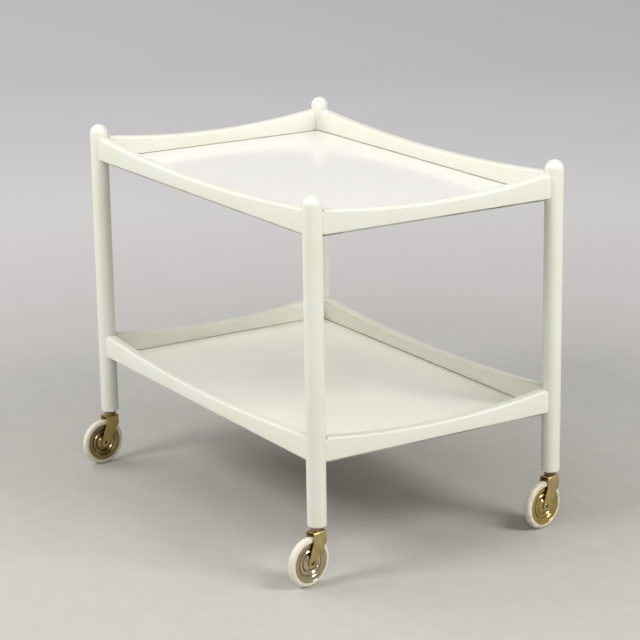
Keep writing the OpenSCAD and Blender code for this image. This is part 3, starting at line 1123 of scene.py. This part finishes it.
@dataclass(frozen=True)
class PaperFloor(Finish):
    """Pale studio paper: matt, with a painted pool of light that fades into the distance."""

    name: str = "pale studio paper"
    colour: str = "#B9B7B1"
    roughness: float = 0.9
    fade: Point = (0.8, 1.45)
    painted_pool: tuple[tuple[float, str], ...] = (
        (1.2, "#C6C3C1"),
        (2.2, "#CFCCCC"),
        (3.4, "#C5C2C4"),
        (4.5, "#BDBABC"),
        (6.4, "#BAB7BA"),
        (10.0, "#BFBCBE"),
    )
    painted_slope: Triple = (-0.0237, -0.0383, 0.0)
    level_out: Point = (6.4, 10.0)
    wear: float = 0.03

    def pattern(self, skin: Skin) -> None:
        """Let the floor keep its shadows near the trolley, and further off show camera and gloss rays a
        glowing, painted pool of light that levels out beyond some 6 to 10 m.

        Args:
            skin: The material that it is drawn on.
        """
        tree, place = skin.tree, skin.place
        reach = add(tree, "ShaderNodeVectorMath", {0: place}, operation="LENGTH").outputs["Value"]
        away = skin.ramp(reach, self.fade, interpolation_type="SMOOTHSTEP")
        # Painted light: the pool's tone by distance, a little brighter towards the left key, and level far
        # off
        limit = self.painted_pool[-1][0]
        painted_pool_tones = add(tree, "ShaderNodeValToRGB", {"Fac": calc(tree, "DIVIDE", reach, limit)})
        painted_pool_tones.color_ramp.interpolation = "EASE"
        for distance, code in self.painted_pool[:-1]:
            painted_pool_tones.color_ramp.elements.new(distance / limit).color = linear(code)
        for rim in (0, -1):
            painted_pool_tones.color_ramp.elements[rim].color = linear(self.painted_pool[rim][1])
        aside = add(tree, "ShaderNodeVectorMath", {0: place, 1: self.painted_slope}, operation="DOT_PRODUCT")
        even = skin.ramp(reach, self.level_out, (1.0, 0.0))
        level = calc(tree, "MULTIPLY_ADD", aside.outputs["Value"], even, 1.0)
        tone = add(tree, "ShaderNodeEmission", {"Color": painted_pool_tones.outputs["Color"], "Strength": level})
        # Scuffs and dust of some 30 mm, only on the paper itself
        wear = skin.ramp(skin.noise(26.0, 6.0, rough=0.62), (0.3, 0.7), (1 - self.wear, 1 + self.wear))
        values = {0: linear(self.colour)[:3], "Scale": wear}
        paper = add(tree, "ShaderNodeVectorMath", values, operation="SCALE")
        skin.feed("Base Color", paper.outputs["Vector"])
        # Away from the trolley, camera and gloss rays see the glowing painted pool instead of the lit paper
        share = calc(tree, "MULTIPLY", seen(tree), away)
        floor = layer(tree, share, skin.shader.outputs["BSDF"], tone.outputs["Emission"])
        # From under the floor the camera looks through it
        camera = add(tree, "ShaderNodeLightPath").outputs["Is Camera Ray"]
        under = add(tree, "ShaderNodeNewGeometry").outputs["Backfacing"]
        clear = add(tree, "ShaderNodeBsdfTransparent").outputs["BSDF"]
        floor = layer(tree, calc(tree, "MULTIPLY", camera, under), floor, clear)
        tree.links.new(floor, skin.output.inputs["Surface"])


@dataclass(frozen=True)
class Lamp:
    """A soft square lamp that faces the trolley, in degrees, metres and watts."""

    name: str
    azimuth: float
    elevation: float
    distance: float
    side: float
    power: float

    def build(self) -> None:
        """Hang the lamp and turn it to the trolley."""
        out = toward(self.azimuth, self.elevation)
        data = bpy.data.lights.new(self.name, "AREA")
        data.shape = "SQUARE"
        data.size = self.side
        data.energy = self.power
        lamp = shown(self.name, data)
        lamp.location = Vector(MIDDLE) + out * self.distance
        lamp.rotation_euler = (-out).to_track_quat("-Z", "Y").to_euler()


@dataclass
class Studio:
    """The floor, the soft lamps and the even grey surroundings."""

    paper: Finish
    reach: float = 40.0
    around: str = "#BFBCBE"
    ambient: float = 0.3
    lamps: tuple[Lamp, ...] = (
        Lamp("left key", 0.0, 42.0, 3.6, 1.05, 55.0),
        Lamp("left fill", -35.0, 22.0, 3.3, 1.5, 21.8),
        Lamp("right key", 112.0, 42.0, 3.6, 1.05, 45.0),
        Lamp("right fill", 120.0, 22.0, 3.3, 0.9, 24.3),
        Lamp("behind", -70.0, 45.0, 3.6, 1.8, 22.7),
        Lamp("overhead", 0.0, 90.0, 3.3, 2.7, 12.6),
        Lamp("front", 58.0, 25.0, 4.5, 1.5, 33.0),
    )

    def build(self) -> None:
        """Lay the floor, hang the lamps and set the surroundings."""
        half = self.reach / 2
        sheet = bpy.data.meshes.new("floor")
        edge = [(-half, -half, 0), (half, -half, 0), (half, half, 0), (-half, half, 0)]
        sheet.from_pydata(edge, [], [(0, 1, 2, 3)])
        sheet.materials.append(self.paper.material())
        floor = shown("floor", sheet)
        for lamp in self.lamps:
            lamp.build()
        self.surround()

    def surround(self) -> None:
        """Set the grey that the camera and gloss see, and the weaker light that it gives."""
        world = bpy.data.worlds.new("studio")
        world.use_nodes = True
        tree = world.node_tree
        tree.nodes.clear()
        grey = add(tree, "ShaderNodeBackground", {"Color": linear(self.around), "Strength": 1.0})
        light = add(tree, "ShaderNodeBackground", {"Color": linear("#FFFFFF"), "Strength": self.ambient})
        both = layer(tree, seen(tree), light.outputs["Background"], grey.outputs["Background"])
        add(tree, "ShaderNodeOutputWorld", {"Surface": both})
        bpy.context.scene.world = world


@dataclass
class PhotoCamera:
    """The camera at the photograph's angle, in degrees, millimetres and metres."""

    azimuth: float = 58.173
    elevation: float = 15.664
    roll: float = -0.844
    lens: float = 127.55
    distance: float = 3.74835
    aside: float = 0.00209
    target: Triple = (0.0, 0.01809, 0.29926)
    sensor: float = 36.0
    sight: float = 100.0

    def build(self) -> None:
        """Set the scene's camera."""
        turn, roll = math.radians(self.azimuth), math.radians(self.roll)
        back = toward(self.azimuth, self.elevation)
        level = Vector((math.cos(turn), math.sin(turn), 0.0))
        right = level * math.cos(roll) + back.cross(level) * math.sin(roll)
        data = bpy.data.cameras.new("photograph")
        data.lens = self.lens
        data.sensor_width = self.sensor
        data.clip_end = self.sight
        camera = shown("photograph", data)
        place = Vector(self.target) + level * self.aside + back * self.distance
        axes = Matrix((right, back.cross(right), back)).transposed()
        camera.matrix_world = Matrix.Translation(place) @ axes.to_4x4()
        bpy.context.scene.camera = camera


def main() -> None:
    """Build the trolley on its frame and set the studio."""
    logging.basicConfig(level=logging.INFO, format="%(name)s: %(message)s")
    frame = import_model()
    cad, joints = frame["nodes"], {joint["name"]: joint for joint in frame["joints"]}
    bpy.context.scene.view_settings.view_transform = "Standard"
    sills = tuple(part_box(f"{level.value}_laminate")[1].z for level in Level)
    lacquer, turning = SprayedLacquer(sills=sills), turning_tree()
    Posts(turning, lacquer).build()
    Rails(lacquer).build()
    # The lower laminate is matter from wear, and its greener, yellower cream is a painted tint of the shade
    # under the upper tray
    matt = {"colour": "#EBECDF", "worn": "#EBECDF", "roughness": 0.28, "smear": 0.0, "ripple": 0.0}
    tops = {Level.UPPER: GlossLaminate(), Level.LOWER: GlossLaminate("worn cream laminate", **matt)}
    Trays(cad, tops, ScreenedHardboard(), BareBeech(), ZincSteel()).build()
    # Paler brass for the fork edges: rubbed wear, and a painted highlight
    worn = AgedBrass("brass plate rubbed bright", "#CFBE94", 0.24, dark="#B3A075")
    bronze = AgedBrass("dark bronze finish", "#AC9A7E", 0.22, dark="#5A4C3C")
    # Painted shade for the hollows in the rivet heads
    grime_and_shade = AgedBrass("grime in a hollow", "#6B5A40", 0.5, dark="#4A3C28")
    # Each caster's wheel tone, its fork's colour and dark patches, and how soiled its tyre is
    looks = {
        Corner.FRONT_LEFT: (Tone.BRONZE, "#CCB470", "#AC985D", 0.35),
        Corner.FRONT_RIGHT: (Tone.NICKEL, "#CEB980", "#AE9C6B", 0.45),
        Corner.BACK_RIGHT: (Tone.GOLD, "#D2BD84", "#B19F6F", 0.85),
        Corner.BACK_LEFT: (Tone.NICKEL, "#CEB980", "#AE9C6B", 0.5),
    }
    for corner, (tone, colour, dark, soil) in looks.items():
        spin = joints[f"wheel_{corner.value}_spin"]
        spindle = Spindle(Vector(spin["pos_m"]), Vector(spin["axis"]), turning)
        words, shade = corner.value.replace("_", " "), tone.name.lower()
        disc, patches, hollow = tone.value
        plate = AgedBrass(f"{shade} brass plate", disc, 0.07, dark=patches, dulled=0.09)
        # The darker finish in the grooves is painted shade, with some tarnish
        dirt_and_shade = AgedBrass(f"dirt in {shade} grooves", hollow, 0.3, dark=patches)
        rubber = MouldedRubber(f"off-white rubber {words}", soiled=soil)
        Wheel(corner, spindle, plate, dirt_and_shade, rubber).build()
        brass = AgedBrass(f"aged brass plate {words}", colour, dark=dark)
        Caster(corner, spindle, cad, brass, worn, bronze, grime_and_shade).build()
    Studio(PaperFloor()).build()
    PhotoCamera().build()
    LOG.info("both boxes are written")


if __name__ == "__main__":
    main()
